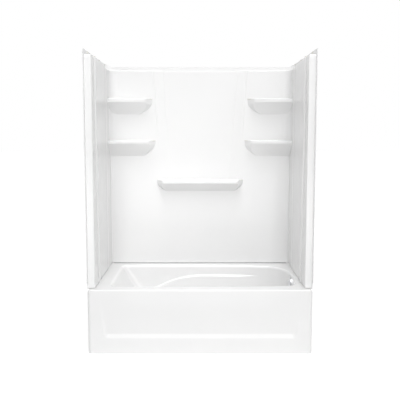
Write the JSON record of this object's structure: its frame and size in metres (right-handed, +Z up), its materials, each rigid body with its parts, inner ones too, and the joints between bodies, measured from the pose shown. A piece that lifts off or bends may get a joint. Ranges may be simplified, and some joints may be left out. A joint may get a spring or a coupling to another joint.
{
  "type": "tub and shower unit",
  "caption": "White alcove bath with a flat apron, three shower wall panels with moulded shelves, and its hidden supports and waste.",
  "frame": {"origin": "on the floor, under the middle of the unit's bounding box", "axes": "+Z up, +X towards the drain end (the right as seen from the open front), -Y out of the open front"},
  "size_m": [1.524, 0.762, 2.04],
  "materials": {
    "white_acrylic": "gloss",
    "seal_foam": "matt closed-cell foam",
    "zinc_steel": "zinc plated",
    "strand_board": "pressed strands",
    "softwood": "sawn",
    "chrome": "polished",
    "black_rubber": "matt",
    "pipe_plastic": "moulded"
  },
  "bodies": {
    "unit": {"tub_shell": "white_acrylic", "back_wall_panel": "white_acrylic", "left_wall_panel": "white_acrylic", "right_wall_panel": "white_acrylic", "back_wall_seal": "seal_foam", "left_wall_seal": "seal_foam", "right_wall_seal": "seal_foam", "left_corner_seal": "seal_foam", "right_corner_seal": "seal_foam", "left_seam_bolt_1": "zinc_steel", "left_seam_bolt_2": "zinc_steel", "left_seam_bolt_3": "zinc_steel", "left_seam_bolt_4": "zinc_steel", "left_seam_nut_1": "zinc_steel", "left_seam_nut_2": "zinc_steel", "left_seam_nut_3": "zinc_steel", "left_seam_nut_4": "zinc_steel", "right_seam_bolt_1": "zinc_steel", "right_seam_bolt_2": "zinc_steel", "right_seam_bolt_3": "zinc_steel", "right_seam_bolt_4": "zinc_steel", "right_seam_nut_1": "zinc_steel", "right_seam_nut_2": "zinc_steel", "right_seam_nut_3": "zinc_steel", "right_seam_nut_4": "zinc_steel", "stopper_stem": "zinc_steel", "tub_bottom_board": "strand_board", "left_backer_board": "strand_board", "right_backer_board": "strand_board", "back_backer_board": "strand_board", "left_floor_bearer": "softwood", "middle_floor_bearer": "softwood", "right_floor_bearer": "softwood", "front_rim_batten": "softwood", "back_rim_batten": "softwood", "left_rim_batten": "softwood", "right_rim_batten": "softwood", "left_apron_post": "softwood", "right_apron_post": "softwood", "drain_strainer": "chrome", "overflow_plate": "chrome", "overflow_screw_front": "chrome", "overflow_screw_back": "chrome", "drain_gasket": "black_rubber", "overflow_gasket": "black_rubber", "drain_shoe": "pipe_plastic", "waste_pipe": "pipe_plastic", "overflow_pipe": "pipe_plastic", "waste_tee": "pipe_plastic", "shoe_slip_nut": "pipe_plastic", "tee_side_slip_nut": "pipe_plastic", "tee_top_slip_nut": "pipe_plastic", "elbow_slip_nut": "pipe_plastic", "overflow_elbow": "pipe_plastic"},
    "stopper": {"drain_stopper": "chrome", "stopper_seal": "black_rubber"}
  },
  "joints": [
    {"name": "stopper_slide", "type": "slide", "parent": "unit", "child": "stopper", "axis": [0, 0, 1], "range_m": [0, 0.008]}
  ]
}
